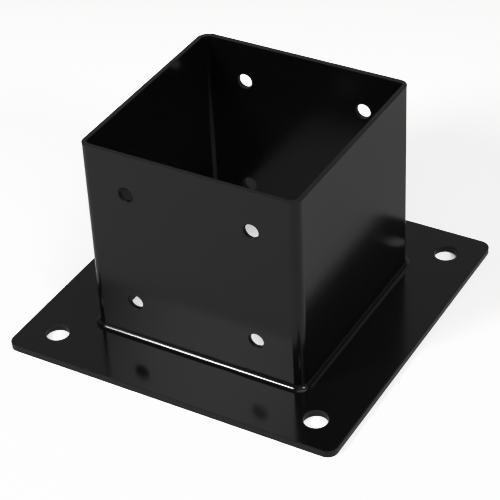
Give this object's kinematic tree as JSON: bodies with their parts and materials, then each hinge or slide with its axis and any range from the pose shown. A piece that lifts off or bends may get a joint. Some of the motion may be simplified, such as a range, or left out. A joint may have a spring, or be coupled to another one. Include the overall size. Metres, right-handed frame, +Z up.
{
  "type": "timber post base",
  "caption": "Square folded-steel sleeve welded on a bolt-down base plate, for fixing a timber post to concrete or decking.",
  "frame": {"origin": "centre of the base plate's underside, where it rests on the ground", "axes": "+Z up along the sleeve; +X along the front wall, to the right seen from the front; +Y from the front wall with screw holes to the back wall with screw holes"},
  "size_m": [0.15, 0.15, 0.092],
  "materials": {
    "black_coat": "smooth gloss black powder coat over steel"
  },
  "bodies": {
    "root": {"base_plate": "black_coat", "post_sleeve": "black_coat", "seam_weld": "black_coat", "foot_weld": "black_coat"}
  },
  "joints": []
}
